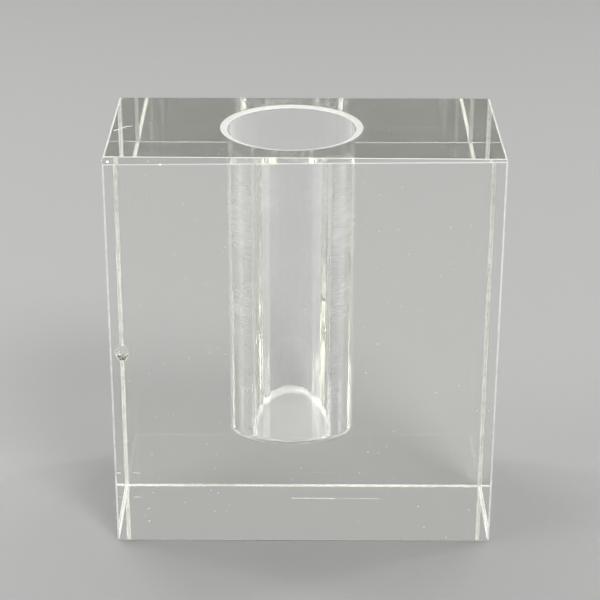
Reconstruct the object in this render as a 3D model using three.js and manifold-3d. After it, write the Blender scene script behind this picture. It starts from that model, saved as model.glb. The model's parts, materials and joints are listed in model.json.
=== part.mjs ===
// A bud vase made from one solid block of clear glass. A round, flat-bottomed bore goes down
// into the block from its top face and stops well above the base. The mouth of the bore and all
// twelve edges of the block are ground to small flat bevels.
//
// Units are millimetres. The origin is the middle of the base, +Z is up, +X is the block's right
// as seen from the front, and +Y points to its back.

import * as THREE from 'three';
import Module from 'manifold-3d';
import { ConvexGeometry } from 'three/addons/geometries/ConvexGeometry.js';
import { mergeVertices } from 'three/addons/utils/BufferGeometryUtils.js';

// ---- Driving dimensions ----

const BLOCK_WIDTH = 110;
const BLOCK_DEPTH = 54.5;
const BLOCK_HEIGHT = 119.5;

const BORE_DIAMETER = 36.3;
const BORE_DEPTH = 90.7;
// The bore was drilled a little to the left of the block's middle.
const BORE_CENTRE_X = -3.7;
// The corner between the bore's wall and its floor is left round by the drill.
const FLOOR_FILLET = 2.2;
// The bevel round the mouth is shallow: it runs out along the top face further than it goes down.
const MOUTH_BEVEL_WIDTH = 2.15;
const MOUTH_BEVEL_DROP = 0.5;

// How far each kind of edge bevel runs in along both of its faces.
const UPRIGHT_BEVEL = 0.55;
const TOP_BEVEL = 0.6;
// The base is ground less along its front and back than at its two ends.
const BASE_LONG_BEVEL = 0.35;
const BASE_END_BEVEL = 0.5;
// The bevel on the top front edge was ground by hand, and narrows from left to right.
const FRONT_TOP_BEVEL_LEFT = 1.75;
const FRONT_TOP_BEVEL_RIGHT = 0.7;

// Cutting tools run this far past the faces that they cut through.
const OVERCUT = 2;
const BORE_SEGMENTS = 96;
const FILLET_STEPS = 6;

const GLASS_COLOUR = 0xe4e9dc;

// ---- Solids ----

const wasm = await Module();
wasm.setup();

// A closed three.js geometry as a manifold solid, with only its positions kept.
function solidFrom(geometry) {
  const bare = geometry.clone();
  bare.deleteAttribute('normal');
  bare.deleteAttribute('uv');
  const merged = mergeVertices(bare);
  const corners = merged.index.array;
  const triangles = [];
  for (let i = 0; i < corners.length; i += 3) {
    const [a, b, c] = corners.slice(i, i + 3);
    // A lathe leaves triangles with no area where its profile meets the axis.
    if (a !== b && b !== c && c !== a) {
      triangles.push(a, b, c);
    }
  }
  return new wasm.Manifold(new wasm.Mesh({
    numProp: 3,
    vertProperties: new Float32Array(merged.attributes.position.array),
    triVerts: new Uint32Array(triangles),
  }));
}

// A manifold solid as a flat-shaded three.js geometry.
function geometryFrom(solid) {
  const mesh = solid.getMesh();
  const geometry = new THREE.BufferGeometry();
  geometry.setAttribute('position', new THREE.BufferAttribute(mesh.vertProperties, 3));
  geometry.setIndex(new THREE.BufferAttribute(mesh.triVerts, 1));
  const flat = geometry.toNonIndexed();
  flat.computeVertexNormals();
  return flat;
}

// ---- The block and its bevelled edges ----

const HALF = new THREE.Vector3(BLOCK_WIDTH / 2, BLOCK_DEPTH / 2, BLOCK_HEIGHT / 2);
const MIDDLE = new THREE.Vector3(0, 0, HALF.z);

function blankBlock() {
  const blank = new THREE.BoxGeometry(BLOCK_WIDTH, BLOCK_DEPTH, BLOCK_HEIGHT);
  return solidFrom(blank.translate(MIDDLE.x, MIDDLE.y, MIDDLE.z));
}

// How wide the bevel is at the start and the end of one edge. `side` holds -1 or 1 for each
// direction across the edge.
function bevelAt(side) {
  if (side.z === undefined) {
    return [UPRIGHT_BEVEL, UPRIGHT_BEVEL];
  }
  if (side.z < 0) {
    const leg = side.x === undefined ? BASE_LONG_BEVEL : BASE_END_BEVEL;
    return [leg, leg];
  }
  if (side.y < 0) {
    return [FRONT_TOP_BEVEL_LEFT, FRONT_TOP_BEVEL_RIGHT];
  }
  return [TOP_BEVEL, TOP_BEVEL];
}

// The wedge of glass that is ground away along one edge. It is a triangular bar whose long flat
// side is the bevel, and it runs past the block at both ends.
function edgeWedge(along, across, side) {
  const [legAtStart, legAtEnd] = bevelAt(side);
  const middleLeg = (legAtStart + legAtEnd) / 2;
  const taper = (legAtEnd - legAtStart) / (2 * HALF[along]);
  const points = [];
  for (const end of [-1, 1]) {
    const reach = end * (HALF[along] + OVERCUT);
    const leg = middleLeg + taper * reach;
    // Each corner of the bar's section, as its depths below the two faces that meet here.
    const section = [[-OVERCUT, -OVERCUT], [leg + OVERCUT, -OVERCUT], [-OVERCUT, leg + OVERCUT]];
    for (const depths of section) {
      const point = new THREE.Vector3();
      point[along] = reach;
      across.forEach((axis, i) => {
        point[axis] = side[axis] * (HALF[axis] - depths[i]);
      });
      points.push(point.add(MIDDLE));
    }
  }
  return solidFrom(new ConvexGeometry(points));
}

function edgeWedges() {
  const wedges = [];
  for (const along of ['x', 'y', 'z']) {
    const across = ['x', 'y', 'z'].filter((axis) => axis !== along);
    for (const first of [-1, 1]) {
      for (const second of [-1, 1]) {
        const side = { [across[0]]: first, [across[1]]: second };
        wedges.push(edgeWedge(along, across, side));
      }
    }
  }
  return wedges;
}

// ---- The bore ----

// The shape that is drilled out: a round bar with a filleted lower corner, which opens into a
// shallow cone at the mouth.
function boreTool() {
  const radius = BORE_DIAMETER / 2;
  const floor = BLOCK_HEIGHT - BORE_DEPTH;
  const profile = [new THREE.Vector2(0, floor)];
  for (let i = 0; i <= FILLET_STEPS; i += 1) {
    const angle = (i / FILLET_STEPS) * (Math.PI / 2);
    profile.push(new THREE.Vector2(
      radius - FLOOR_FILLET + FLOOR_FILLET * Math.sin(angle),
      floor + FLOOR_FILLET - FLOOR_FILLET * Math.cos(angle),
    ));
  }
  const coneRise = MOUTH_BEVEL_DROP + OVERCUT;
  const coneReach = coneRise * (MOUTH_BEVEL_WIDTH / MOUTH_BEVEL_DROP);
  profile.push(new THREE.Vector2(radius, BLOCK_HEIGHT - MOUTH_BEVEL_DROP));
  profile.push(new THREE.Vector2(radius + coneReach, BLOCK_HEIGHT + OVERCUT));
  profile.push(new THREE.Vector2(0, BLOCK_HEIGHT + OVERCUT));
  const lathe = new THREE.LatheGeometry(profile, BORE_SEGMENTS);
  // A lathe turns about Y, and the bore stands along Z.
  lathe.rotateX(Math.PI / 2);
  return solidFrom(lathe.translate(BORE_CENTRE_X, 0, 0));
}

// ---- The part ----

function glassBlock() {
  const cutters = [...edgeWedges(), boreTool()];
  const solid = cutters.reduce((body, cutter) => body.subtract(cutter), blankBlock());
  const glass = new THREE.MeshStandardMaterial({
    color: GLASS_COLOUR,
    roughness: 0.04,
    metalness: 0,
    transparent: true,
    opacity: 0.35,
  });
  const mesh = new THREE.Mesh(geometryFrom(solid), glass);
  mesh.name = 'glass_block';
  return mesh;
}

const vase = new THREE.Group();
vase.name = 'block_bud_vase';
vase.add(glassBlock());

export default vase;
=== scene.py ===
import itertools
import json
import math

import bmesh
import bpy
import numpy as np
from mathutils import Matrix, Vector


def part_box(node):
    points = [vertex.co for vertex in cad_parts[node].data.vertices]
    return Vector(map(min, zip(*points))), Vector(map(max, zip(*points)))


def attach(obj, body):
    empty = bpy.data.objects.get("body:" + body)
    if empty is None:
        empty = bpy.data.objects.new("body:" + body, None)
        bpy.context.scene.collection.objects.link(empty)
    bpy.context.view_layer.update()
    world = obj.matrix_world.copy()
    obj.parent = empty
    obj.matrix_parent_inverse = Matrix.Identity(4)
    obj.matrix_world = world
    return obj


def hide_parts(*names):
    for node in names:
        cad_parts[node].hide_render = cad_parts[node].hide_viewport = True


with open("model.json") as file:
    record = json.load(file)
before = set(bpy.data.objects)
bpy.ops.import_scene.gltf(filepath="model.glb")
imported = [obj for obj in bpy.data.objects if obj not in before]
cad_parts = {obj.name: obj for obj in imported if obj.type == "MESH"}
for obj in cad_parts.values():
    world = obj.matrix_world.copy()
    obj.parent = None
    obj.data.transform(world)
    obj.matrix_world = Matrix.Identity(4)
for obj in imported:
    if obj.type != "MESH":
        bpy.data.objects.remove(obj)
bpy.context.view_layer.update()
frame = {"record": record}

# The bud vase is one block of clear glass. This script makes its finished surface: flat polished
# faces with ground bevels, a bore whose wall keeps the flutes and haze of its polishing, and the
# chip, nicks and scratches that use has left. Lengths are in metres, in the frame's own axes: +X
# is the block's right, +Y its back and +Z its top.

MM = 0.001
CAD_LOW, CAD_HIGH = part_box("glass_block")
OPENING_LOW, OPENING_HIGH = frame["record"]["physics"]["openings"][0]["box_m"]

# ---- The block and its bore ----

LEFT, FRONT, BASE = CAD_LOW
RIGHT, BACK, TOP = CAD_HIGH

# The stated opening is a box round the bore's axis, so its middle is on the axis.
BORE_X = (OPENING_LOW[0] + OPENING_HIGH[0]) / 2
BORE_Y = (OPENING_LOW[1] + OPENING_HIGH[1]) / 2
BORE_RADIUS = 18.15 * MM
BORE_FLOOR = TOP - 90.7 * MM
FLOOR_FILLET = 2.2 * MM
FILLET_TOP = BORE_FLOOR + FLOOR_FILLET
MOUTH_BEVEL_WIDTH = 2.15 * MM
MOUTH_BEVEL_DROP = 0.5 * MM
MOUTH_RADIUS = BORE_RADIUS + MOUTH_BEVEL_WIDTH

UPRIGHT_BEVEL = 0.55 * MM
TOP_BEVEL = 0.6 * MM
BASE_LONG_BEVEL = 0.35 * MM
BASE_END_BEVEL = 0.5 * MM
FRONT_TOP_BEVEL_LEFT = 1.75 * MM
FRONT_TOP_BEVEL_RIGHT = 0.7 * MM
# The sharp lines where bevels meet faces are worn round by this much.
WORN_EDGE = 0.1 * MM
WORN_EDGE_STEPS = 3
# Corners of the cut block that lie closer than this are one corner.
MERGE_DISTANCE = 0.001 * MM
# Edges that turn less than this are shaded smooth.
SMOOTH_ANGLE = math.radians(25)

# How finely the bore is made: steps round it, steps up its fillet, and rings up its wall.
BORE_SEGMENTS = 900
FILLET_STEPS = 10
WALL_RINGS = 16
# The drill's solid runs this far past the top face.
OVERCUT = 1 * MM

# ---- Marks of making and wear ----

# The flutes on the bore's wall are the sum of many waves round it, from broad to fine.
FLUTE_SEED = 7
FLUTE_WAVES = 70
FEWEST_CRESTS = 9
MOST_CRESTS = 190
# The most that a wave of TYPICAL_CRESTS crests stands off the wall. Waves with more crests are
# lower, and FLUTE_FALLOFF says how fast.
FLUTE_HEIGHT = 0.007 * MM
TYPICAL_CRESTS = 18
FLUTE_FALLOFF = 0.6
# The most that a wave's crests turn round the bore on their way up, in radians per metre.
FLUTE_LEAN = 0.42

# The chip in the left rear edge is a shallow scoop, part of this ball with blunt corners.
CHIP_CENTRE = Vector((LEFT - 0.4 * MM, BACK + 3.0 * MM, 45.4 * MM))
CHIP_REACH = Vector((4.55 * MM, 4.5 * MM, 6.05 * MM))
# Two would be round, and one would be sharp-cornered.
CHIP_ROUNDNESS = 1.4
# The chip's surface rises and falls by this share of its reach.
CHIP_RIPPLE = 0.004


def on_base(x, y):
    return Vector((x * MM, y * MM, BASE))


def on_top(x, y):
    return Vector((x * MM, y * MM, TOP))


def on_front(x, z):
    return Vector((x * MM, FRONT, z * MM))


def on_back(x, z):
    return Vector((x * MM, BACK, z * MM))


# Each scratch's two ends and half its width. The last three are one crooked scratch.
SCRATCHES = [
    (on_base(-3.5, 14.1), on_base(9.5, 14.0), 0.34 * MM),
    (on_base(9.5, 14.15), on_base(23.3, 13.9), 0.16 * MM),
    (on_back(-53.0, 4.3), on_back(-50.8, 4.1), 0.2 * MM),
    (on_top(-53.7, -3.6), on_top(-52.1, -2.3), 0.13 * MM),
    (on_top(-52.1, -2.3), on_top(-50.6, -0.1), 0.11 * MM),
    (on_top(-50.6, -0.1), on_top(-49.0, 0.4), 0.1 * MM),
]
# Each nick's place and radius.
NICKS = [
    (on_base(-47.2, 3.6), 0.35 * MM),
    (on_base(-46.4, -8.7), 0.3 * MM),
    (on_base(-30.5, 21.2), 0.25 * MM),
    (on_base(-26.4, 19.2), 0.25 * MM),
    (on_base(-26.9, 1.25), 0.25 * MM),
    (on_front(-21.8, 93.9), 0.16 * MM),
    (on_front(-26.6, 61.8), 0.16 * MM),
    (on_front(-22.3, 61.2), 0.2 * MM),
    (on_front(17.6, 55.4), 0.16 * MM),
    (on_front(18.6, 29.9), 0.16 * MM),
    (on_front(14.9, 67.9), 0.16 * MM),
    (on_front(-39.1, 117.9), 0.4 * MM),
    (Vector((-53.4 * MM, FRONT + 0.65 * MM, TOP - 1.1 * MM)), 0.45 * MM),
]

# ---- Colours and light ----

GLASS_IOR = 1.517
CLEAR_TINT = (1, 1, 1, 1)
FROST_TINT = (0.975, 0.985, 0.93, 1)
# Light that goes through the glass turns faintly yellow-green.
DEEP_TINT = (0.942, 0.95, 0.897, 1)
DEEP_TINT_DENSITY = 8

WALL_TINT = (1.0, 0.99, 0.98, 1)
# The lights fall off with distance, so a paler far floor keeps the horizon soft.
NEAR_FLOOR = (0.18, 0.18, 0.178, 1)
FAR_FLOOR = (0.88, 0.88, 0.875, 1)
FLOOR_REACH = 6.0
# The floor lies this far below the base, so that there is air under the glass.
FLOOR_GAP = 0.1 * MM

# Most of the lights point at about the block's middle.
LIGHT_AIM = (0, 0, 0.06)
# Light crosses the block and its bore many times before it leaves.
LIGHT_BOUNCES = 32


# ---- Camera ----

def make_camera():
    data = bpy.data.cameras.new("camera")
    data.sensor_width = 36
    data.lens = 111.45
    camera = bpy.data.objects.new("camera", data)
    bpy.context.scene.collection.objects.link(camera)
    camera.location = (-1.2 * MM, -500.5 * MM, 288.4 * MM)
    pitch = math.radians(23.97)
    roll = math.radians(0.17)
    camera.rotation_mode = "QUATERNION"
    aim = Matrix.Rotation(math.pi / 2 - pitch, 3, "X") @ Matrix.Rotation(roll, 3, "Z")
    camera.rotation_quaternion = aim.to_quaternion()
    bpy.context.scene.camera = camera


# ---- Shader nodes ----

class Graph:
    """Short calls that add nodes to one shader tree."""

    def __init__(self, tree):
        self.tree = tree

    def add(self, kind, inputs=None, **settings):
        node = self.tree.nodes.new(kind)
        for name, value in settings.items():
            setattr(node, name, value)
        for name, value in (inputs or {}).items():
            self.put(node.inputs[name], value)
        return node

    def put(self, socket, value):
        if isinstance(value, bpy.types.NodeSocket):
            self.tree.links.new(value, socket)
        else:
            socket.default_value = value

    def math(self, operation, *values):
        node = self.add("ShaderNodeMath", operation=operation)
        for socket, value in zip(node.inputs, values):
            self.put(socket, value)
        return node.outputs[0]

    def chain(self, operation, values):
        out = values[0]
        for value in values[1:]:
            out = self.math(operation, out, value)
        return out

    def total(self, *values):
        return self.chain("ADD", values)

    def product(self, *values):
        return self.chain("MULTIPLY", values)

    def largest(self, *values):
        return self.chain("MAXIMUM", values)

    def rise(self, value, start, stop, low=0.0, high=1.0):
        """Goes smoothly from low to high as the value goes from start to stop."""
        node = self.add("ShaderNodeMapRange", interpolation_type="SMOOTHSTEP")
        names = ("Value", "From Min", "From Max", "To Min", "To Max")
        for name, amount in zip(names, (value, start, stop, low, high)):
            self.put(node.inputs[name], amount)
        return node.outputs["Result"]

    def fall(self, value, start, stop):
        """Goes smoothly from one to zero as the value goes from start to stop."""
        return self.rise(value, start, stop, 1, 0)

    def band(self, value, start, full, fade, stop):
        """Rises from start to full, and falls from fade to stop."""
        return self.product(self.rise(value, start, full), self.fall(value, fade, stop))

    def vector(self, operation, *values, out="Vector"):
        node = self.add("ShaderNodeVectorMath", operation=operation)
        for socket, value in zip(node.inputs, values):
            self.put(socket, value)
        return node.outputs[out]

    def axes(self, vector):
        node = self.add("ShaderNodeSeparateXYZ")
        self.put(node.inputs[0], vector)
        return node.outputs

    def noise(self, vector, scale, detail=2.0):
        """Noise that is finer along an axis the larger the scale is there."""
        inputs = {"Vector": self.vector("MULTIPLY", vector, scale), "Scale": 1, "Detail": detail}
        return self.add("ShaderNodeTexNoise", inputs).outputs["Fac"]

    def mixed(self, share, first, second):
        """The first colour where the share is zero, and the second where it is one."""
        inputs = {"Fac": share, "Color1": first, "Color2": second}
        return self.add("ShaderNodeMixRGB", inputs).outputs["Color"]


# ---- Studio ----

def area_light(name, place, size, power, aim=LIGHT_AIM):
    data = bpy.data.lights.new(name, "AREA")
    data.shape = "RECTANGLE"
    data.size, data.size_y = size
    data.energy = power
    light = bpy.data.objects.new(name, data)
    light.location = place
    light.rotation_mode = "QUATERNION"
    light.rotation_quaternion = (Vector(aim) - Vector(place)).to_track_quat("-Z", "Y")
    bpy.context.scene.collection.objects.link(light)


def make_lights():
    """Softboxes high up all round, and a narrow upright one far out on each side. None stands
    where the block's faces would throw its image back at an ordinary camera."""
    area_light("front_key", place=(0.55, -1.05, 1.45), size=(0.6, 0.6), power=30)
    area_light("left_softbox", place=(-0.9, -0.3, 1.15), size=(0.6, 0.6), power=9)
    area_light("top_softbox", place=(-0.1, 0.35, 1.25), size=(0.7, 0.7), power=7, aim=(0, 0, 0))
    for side in (-1, 1):
        rear, flank = (0.6 * side, 0.75, 1.15), (1.0 * side, 0.4, 0.46)
        area_light(f"rear_softbox_{side}", place=rear, size=(0.5, 0.5), power=5)
        area_light(f"side_strip_{side}", place=flank, size=(0.2, 0.4), power=8)


def make_world():
    """Plain studio walls, a little brighter towards the two sides and close to the horizon."""
    world = bpy.data.worlds.new("studio")
    bpy.context.scene.world = world
    world.use_nodes = True
    graph = Graph(world.node_tree)
    x, _, z = graph.axes(graph.add("ShaderNodeTexCoord").outputs["Generated"])
    sides = graph.rise(graph.math("ABSOLUTE", x), 0.3, 0.85, low=0.45, high=0.6)
    horizon = graph.rise(graph.math("ABSOLUTE", z), 0.0, 0.25, low=0.08, high=0.0)
    background = world.node_tree.nodes["Background"]
    graph.put(background.inputs["Strength"], graph.total(sides, horizon))
    graph.put(background.inputs["Color"], WALL_TINT)


def make_floor():
    corners = [(-1, -1), (1, -1), (1, 1), (-1, 1)]
    places = [(x * FLOOR_REACH, y * FLOOR_REACH, -FLOOR_GAP) for x, y in corners]
    mesh = bpy.data.meshes.new("studio_floor")
    mesh.from_pydata(places, [], [(0, 1, 2, 3)])
    floor = bpy.data.objects.new("studio_floor", mesh)
    bpy.context.scene.collection.objects.link(floor)
    material = bpy.data.materials.new("studio_floor")
    material.use_nodes = True
    graph = Graph(material.node_tree)
    place = graph.add("ShaderNodeTexCoord").outputs["Object"]
    distance = graph.vector("LENGTH", place, out="Value")
    paint = graph.mixed(graph.rise(distance, 1.0, 3.2), NEAR_FLOOR, FAR_FLOOR)
    shader = material.node_tree.nodes["Principled BSDF"]
    graph.put(shader.inputs["Base Color"], paint)
    shader.inputs["Roughness"].default_value = 0.7
    mesh.materials.append(material)


# ---- Glass material ----

class Finishes(Graph):
    """Where each finish lies on the block, worked out from the place. Each one is a mask: zero
    off the finish, and up to about one on it."""

    def __init__(self, tree):
        super().__init__(tree)
        self.place = self.add("ShaderNodeTexCoord").outputs["Object"]
        self.x, self.y, self.z = self.axes(self.place)
        self.across = self.math("SUBTRACT", self.x, BORE_X)
        along = self.math("SUBTRACT", self.y, BORE_Y)
        squares = self.total(self.product(self.across, self.across), self.product(along, along))
        self.radius = self.math("SQRT", squares)
        self.in_bore = self.fall(self.radius, BORE_RADIUS + 0.1 * MM, BORE_RADIUS + 0.2 * MM)
        self.from_top = self.math("SUBTRACT", TOP, self.z)

    def mouth_bevel(self):
        inside = self.fall(self.radius, MOUTH_RADIUS - 0.03 * MM, MOUTH_RADIUS)
        off_wall = self.rise(self.radius, BORE_RADIUS + 0.05 * MM, BORE_RADIUS + 0.2 * MM)
        near_top = self.rise(self.z, TOP - 0.7 * MM, TOP - 0.55 * MM)
        return self.product(inside, off_wall, near_top)

    def bore_floor(self):
        """The floor, and most of the round corner that leads into it."""
        above_base = self.rise(self.z, 5 * MM, 6 * MM)
        low = self.fall(self.z, FILLET_TOP - 0.6 * MM, FILLET_TOP)
        return self.product(self.in_bore, above_base, low)

    def floor_corner(self, floor):
        outer = self.rise(self.radius, BORE_RADIUS - 2.6 * MM, BORE_RADIUS - 1.4 * MM)
        return self.product(floor, outer)

    def wall_haze(self, mouth):
        """Haze from polishing: patches of fine rings in two bands of the bore's wall, which are
        strongest on its left and right."""
        above_floor = self.rise(self.z, FILLET_TOP, FILLET_TOP + 2 * MM)
        wall = self.product(self.in_bore, above_floor, self.math("SUBTRACT", 1, mouth))
        upper = self.band(self.z, 84 * MM, 94 * MM, 100 * MM, 112 * MM)
        lower = self.band(self.z, 66 * MM, 72 * MM, 76 * MM, 82 * MM)
        cloud = self.total(self.product(upper, 0.6), self.product(lower, 0.4), 0.1)
        off_middle = self.math("ABSOLUTE", self.across)
        flank = self.rise(off_middle, 0.35 * BORE_RADIUS, 0.7 * BORE_RADIUS, low=0.25)
        patches = self.rise(self.noise(self.place, (60, 60, 60), detail=3), 0.3, 0.7)
        rings = self.rise(self.noise(self.place, (150, 150, 2600), detail=3), 0.3, 0.7)
        return self.product(wall, flank, cloud, self.total(patches, 0.2), self.total(rings, 0.2))

    def bevel(self, first, second, leg):
        """On a bevel, the depths below the two faces that meet add up to its leg."""
        return self.fall(self.total(first, second), leg + 0.07 * MM, leg + 0.14 * MM)

    def ground_edges_and_painted_highlight(self):
        """The frosted bevels: partly a real ground finish and partly painted highlight. The rear
        uprights,
            and the base except along its front, are made milkier than the rest, so they show as
            bright lines."""
        from_side = self.math("SUBTRACT", RIGHT, self.math("ABSOLUTE", self.x))
        from_end = self.math("SUBTRACT", BACK, self.math("ABSOLUTE", self.y))
        from_back = self.math("SUBTRACT", BACK, self.y)
        from_base = self.math("SUBTRACT", self.z, BASE)
        uprights = self.product(
            self.bevel(from_side, from_end, UPRIGHT_BEVEL),
            # Milkier towards the back: painted highlight on the rear uprights.
            self.rise(self.y, -5 * MM, 5 * MM, low=0.35, high=0.92),
        )
        around_base = self.product(
            self.largest(
                self.bevel(from_side, from_base, BASE_END_BEVEL),
                self.bevel(from_end, from_base, BASE_LONG_BEVEL),
            ),
            # Milkier away from the front: painted highlight on the base's side and rear bevels.
            self.rise(self.y, FRONT + 1 * MM, FRONT + 3 * MM, low=0.3, high=0.92),
        )
        around_top = self.product(
            self.bevel(self.math("MINIMUM", from_side, from_back), self.from_top, TOP_BEVEL),
            0.4,
        )
        wear = self.rise(self.noise(self.place, (500, 500, 500)), 0.3, 0.6, low=0.8)
        return self.product(self.largest(uprights, around_base, around_top), wear)

    def front_bevel_borders(self):
        """The bevel at the top front is polished, and only its two borders are rough."""
        leg = self.add("ShaderNodeMapRange", {
            "Value": self.x,
            "From Min": LEFT,
            "From Max": RIGHT,
            "To Min": FRONT_TOP_BEVEL_LEFT,
            "To Max": FRONT_TOP_BEVEL_RIGHT,
        }).outputs["Result"]
        from_front = self.math("SUBTRACT", self.y, FRONT)
        borders = []
        for near, far in ((from_front, self.from_top), (self.from_top, from_front)):
            on_face = self.fall(near, 0.08 * MM, 0.14 * MM)
            off_border = self.math("ABSOLUTE", self.math("SUBTRACT", far, leg))
            borders.append(self.product(on_face, self.fall(off_border, 0.08 * MM, 0.17 * MM)))
        return self.total(*borders)

    def chip_border(self):
        """The rough line round the chip. The parts add up to one on the ball's surface."""
        parts = []
        for axis, middle, reach in zip((self.x, self.y, self.z), CHIP_CENTRE, CHIP_REACH):
            offset = self.math("DIVIDE", self.math("SUBTRACT", axis, middle), reach)
            parts.append(self.math("POWER", self.math("ABSOLUTE", offset), CHIP_ROUNDNESS))
        return self.band(self.total(*parts), 1.012, 1.02, 1.035, 1.07)

    def specks(self):
        """Pits and dust."""
        cells = self.add("ShaderNodeTexVoronoi", {"Vector": self.place, "Scale": 260.0})
        return self.fall(cells.outputs["Distance"], 0.018, 0.032)

    def nick(self, spot, radius):
        distance = self.vector("DISTANCE", self.place, spot, out="Value")
        return self.fall(distance, radius * 0.5, radius)

    def scratch(self, start, stop, half_width, breaks):
        """A line from start to stop, broken wherever the breaks are low."""
        middle = (start + stop) / 2
        half_length = (stop - start).length / 2
        heading = (stop - start).normalized()
        offset = self.vector("SUBTRACT", self.place, middle)
        lengthways = self.vector("DOT_PRODUCT", offset, heading, out="Value")
        sideways = self.vector("CROSS_PRODUCT", offset, heading)
        off_line = self.vector("LENGTH", sideways, out="Value")
        off_middle = self.math("ABSOLUTE", lengthways)
        within = self.fall(off_middle, half_length, half_length + half_width)
        return self.product(
            within, self.fall(off_line, half_width * 0.5, half_width), self.rise(breaks, 0.25, 0.35)
        )

    def wear_marks(self):
        breaks = self.noise(self.place, (900, 900, 900))
        scratches = [self.scratch(*scratch, breaks) for scratch in SCRATCHES]
        return self.total(*scratches, *[self.nick(*nick) for nick in NICKS])


def make_glass():
    """One material for the whole closed block: clear glass that is milky and rough in places."""
    material = bpy.data.materials.new("clear_glass")
    material.use_nodes = True
    graph = Finishes(material.node_tree)
    mouth, floor = graph.mouth_bevel(), graph.bore_floor()
    # Each finish, how milky it is, and how rough.
    finishes = [
        (mouth, 0.22, 0.4),
        (floor, 0.28, 0.3),
        (graph.floor_corner(floor), 0.3, 0),
        (graph.wall_haze(mouth), 0.22, 0.22),
        # The bevels' milky white is partly a ground finish and partly painted highlight.
        (graph.ground_edges_and_painted_highlight(), 1, 0.45),
        (graph.chip_border(), 0.9, 0.5),
        (graph.front_bevel_borders(), 0.35, 0.3),
        (graph.specks(), 0.8, 1),
        (graph.wear_marks(), 0.85, 1),
    ]
    milky = graph.total(*[graph.product(mask, share) for mask, share, _ in finishes])
    milky = graph.math("MINIMUM", milky, 1)
    rough = graph.total(*[graph.product(mask, share) for mask, _, share in finishes])
    rough = graph.math("MINIMUM", rough, 1)

    shader = material.node_tree.nodes["Principled BSDF"]
    graph.put(shader.inputs["Base Color"], graph.mixed(milky, CLEAR_TINT, FROST_TINT))
    graph.put(shader.inputs["Transmission Weight"], graph.math("SUBTRACT", 1, milky))
    graph.put(shader.inputs["Roughness"], rough)
    shader.inputs["IOR"].default_value = GLASS_IOR
    absorb = graph.add("ShaderNodeVolumeAbsorption")
    absorb.inputs["Color"].default_value = DEEP_TINT
    absorb.inputs["Density"].default_value = DEEP_TINT_DENSITY
    output = material.node_tree.nodes["Material Output"]
    graph.put(output.inputs["Volume"], absorb.outputs["Volume"])
    return material


# ---- Block and bevels ----

def bevel_legs(side):
    """How wide the bevel is at the two ends of an edge. The side holds -1 or 1 for each direction
    across the edge, and None along it."""
    if side[2] is None:
        return UPRIGHT_BEVEL, UPRIGHT_BEVEL
    if side[2] < 0:
        leg = BASE_LONG_BEVEL if side[0] is None else BASE_END_BEVEL
        return leg, leg
    if side[1] is not None and side[1] < 0:
        return FRONT_TOP_BEVEL_LEFT, FRONT_TOP_BEVEL_RIGHT
    return TOP_BEVEL, TOP_BEVEL


def bevel_plane(side):
    """A point on an edge's bevel, and the direction that the bevel faces."""
    along = side.index(None)
    across = [axis for axis in range(3) if axis != along]
    points = []
    for end, leg in zip((CAD_LOW, CAD_HIGH), bevel_legs(side)):
        for inset in across:
            point = end.copy()
            for axis in across:
                point[axis] = (CAD_HIGH if side[axis] > 0 else CAD_LOW)[axis]
            point[inset] -= side[inset] * leg
            points.append(point)
    facing = (points[1] - points[0]).cross(points[2] - points[0]).normalized()
    outward = Vector([direction or 0 for direction in side])
    if facing.dot(outward) < 0:
        facing.negate()
    return points[0], facing


def cut_plane(bm, point, facing):
    """Cuts away what a plane faces, and closes the solid there."""
    everything = bm.verts[:] + bm.edges[:] + bm.faces[:]
    cut = bmesh.ops.bisect_plane(
        bm, geom=everything, plane_co=point, plane_no=facing, clear_outer=True
    )
    edges = [part for part in cut["geom_cut"] if isinstance(part, bmesh.types.BMEdge)]
    bmesh.ops.holes_fill(bm, edges=edges)


def bevelled_block():
    """The block with all twelve edges ground flat, and the lines between faces worn round."""
    bm = bmesh.new()
    size = CAD_HIGH - CAD_LOW
    box = Matrix.Translation((CAD_LOW + CAD_HIGH) / 2) @ Matrix.Diagonal((*size, 1))
    bmesh.ops.create_cube(bm, size=1, matrix=box)
    for along in range(3):
        for side in itertools.product((-1, 1), repeat=2):
            cut_plane(bm, *bevel_plane([*side[:along], None, *side[along:]]))
    bmesh.ops.remove_doubles(bm, verts=bm.verts[:], dist=MERGE_DISTANCE)
    bmesh.ops.bevel(
        bm, geom=bm.edges[:], offset=WORN_EDGE, segments=WORN_EDGE_STEPS, affect="EDGES",
        clamp_overlap=True,
    )
    for face in bm.faces:
        face.smooth = True
    return bm


# ---- Bore ----

def make_flute_waves():
    """Waves round the bore, each as its number of crests, its phase, its height and its lean."""
    rng = np.random.default_rng(FLUTE_SEED)
    counts = np.exp(rng.uniform(math.log(FEWEST_CRESTS), math.log(MOST_CRESTS), FLUTE_WAVES))
    waves = []
    for count in counts:
        phase = rng.uniform(0, 2 * math.pi)
        tallest = FLUTE_HEIGHT * (TYPICAL_CRESTS / count) ** FLUTE_FALLOFF
        height = rng.uniform(0.3, 1) * tallest
        lean = rng.uniform(-FLUTE_LEAN, FLUTE_LEAN)
        waves.append((int(count), phase, height, lean))
    return waves


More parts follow.
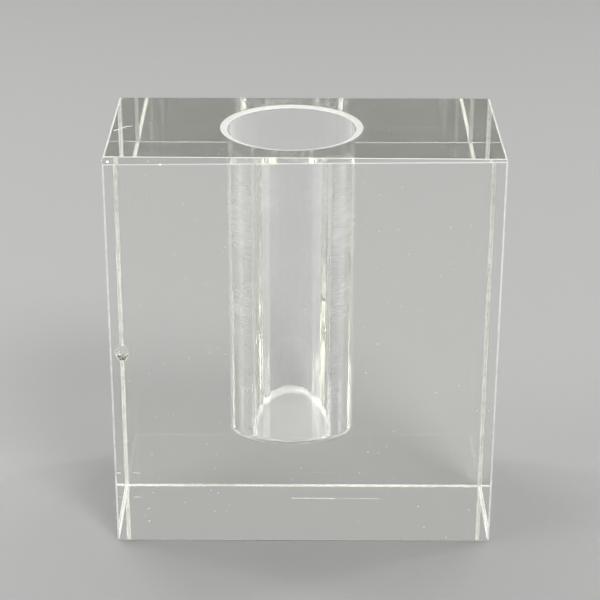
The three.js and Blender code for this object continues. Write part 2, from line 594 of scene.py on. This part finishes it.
def bore_profile():
    """The outline of what is drilled out, from the floor to above the mouth. Each point is its
    radius, its height and how strong the flutes are there."""
    inner = BORE_RADIUS - FLOOR_FILLET
    profile = [(inner * share, BORE_FLOOR, 0) for share in (0.25, 0.5, 0.75)]
    for i in range(FILLET_STEPS + 1):
        share = i / FILLET_STEPS
        angle = share * math.pi / 2
        radius = inner + FLOOR_FILLET * math.sin(angle)
        height = BORE_FLOOR + FLOOR_FILLET * (1 - math.cos(angle))
        profile.append((radius, height, share))
    wall = TOP - MOUTH_BEVEL_DROP - FILLET_TOP
    for i in range(1, WALL_RINGS + 1):
        profile.append((BORE_RADIUS, FILLET_TOP + wall * i / WALL_RINGS, 1))
    reach = (MOUTH_BEVEL_DROP + OVERCUT) * MOUTH_BEVEL_WIDTH / MOUTH_BEVEL_DROP
    profile.append((BORE_RADIUS + reach, TOP + OVERCUT, 1))
    return profile


def bore_tool():
    """The solid that is drilled out of the block."""
    bm = bmesh.new()
    waves = make_flute_waves()
    rings = []
    for radius, height, share in bore_profile():
        ring = []
        for i in range(BORE_SEGMENTS):
            angle = 2 * math.pi * i / BORE_SEGMENTS
            flutes = 0
            for count, phase, reach, lean in waves:
                flutes += reach * math.sin(count * angle + phase + lean * height)
            out = radius + share * flutes
            place = (BORE_X + out * math.cos(angle), BORE_Y + out * math.sin(angle), height)
            ring.append(bm.verts.new(place))
        rings.append(ring)
    for lower, upper in zip(rings, rings[1:]):
        for i in range(BORE_SEGMENTS):
            j = (i + 1) % BORE_SEGMENTS
            bm.faces.new((lower[i], lower[j], upper[j], upper[i])).smooth = True
    middle = bm.verts.new((BORE_X, BORE_Y, BORE_FLOOR))
    for i in range(BORE_SEGMENTS):
        bm.faces.new((rings[0][(i + 1) % BORE_SEGMENTS], rings[0][i], middle)).smooth = True
    bm.faces.new(rings[-1])
    bmesh.ops.recalc_face_normals(bm, faces=bm.faces[:])
    return bm


# ---- Chip ----

def chip_tool():
    """A blunt-cornered ball, which takes a shell-shaped chip out of the left rear edge."""
    bm = bmesh.new()
    bmesh.ops.create_icosphere(bm, subdivisions=6, radius=1)
    for vert in bm.verts:
        total = sum(abs(part) ** CHIP_ROUNDNESS for part in vert.co)
        size = total ** (1 / CHIP_ROUNDNESS)
        slant = 16 * vert.co.z + 9 * vert.co.x
        ripple = 1 + CHIP_RIPPLE * math.sin(slant)
        vert.co = CHIP_CENTRE + vert.co * CHIP_REACH * (ripple / size)
    for face in bm.faces:
        face.smooth = True
    return bm


# ---- Finished block ----

def object_from(bm, name):
    mesh = bpy.data.meshes.new(name)
    bm.to_mesh(mesh)
    bm.free()
    made = bpy.data.objects.new(name, mesh)
    bpy.context.scene.collection.objects.link(made)
    return made


def carve(block, tool):
    """Takes the tool's solid out of the block, and removes the tool."""
    cut = block.modifiers.new("carve", "BOOLEAN")
    cut.operation = "DIFFERENCE"
    cut.solver = "EXACT"
    cut.object = tool
    depsgraph = bpy.context.evaluated_depsgraph_get()
    carved = bpy.data.meshes.new_from_object(block.evaluated_get(depsgraph))
    block.modifiers.clear()
    uncarved = block.data
    block.data = carved
    bpy.data.meshes.remove(uncarved)
    bpy.data.objects.remove(tool)


def shade(block):
    """Flat faces keep their own flat shading next to the rounded lines."""
    bm = bmesh.new()
    bm.from_mesh(block.data)
    for edge in bm.edges:
        edge.smooth = edge.is_manifold and edge.calc_face_angle(0) < SMOOTH_ANGLE
    bm.to_mesh(block.data)
    bm.free()
    weigh = block.modifiers.new("flat_faces", "WEIGHTED_NORMAL")
    weigh.keep_sharp = True
    weigh.weight = 100


def make_block():
    block = object_from(bevelled_block(), "polished_glass_block")
    carve(block, object_from(bore_tool(), "bore_tool"))
    carve(block, object_from(chip_tool(), "chip_tool"))
    shade(block)
    block.data.materials.clear()
    block.data.materials.append(make_glass())
    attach(block, "root")
    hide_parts("glass_block")


make_camera()
make_lights()
make_world()
make_floor()
make_block()

settings = bpy.context.scene.cycles
settings.max_bounces = LIGHT_BOUNCES
settings.glossy_bounces = LIGHT_BOUNCES
settings.transmission_bounces = LIGHT_BOUNCES
bpy.context.scene.view_settings.view_transform = "Standard"
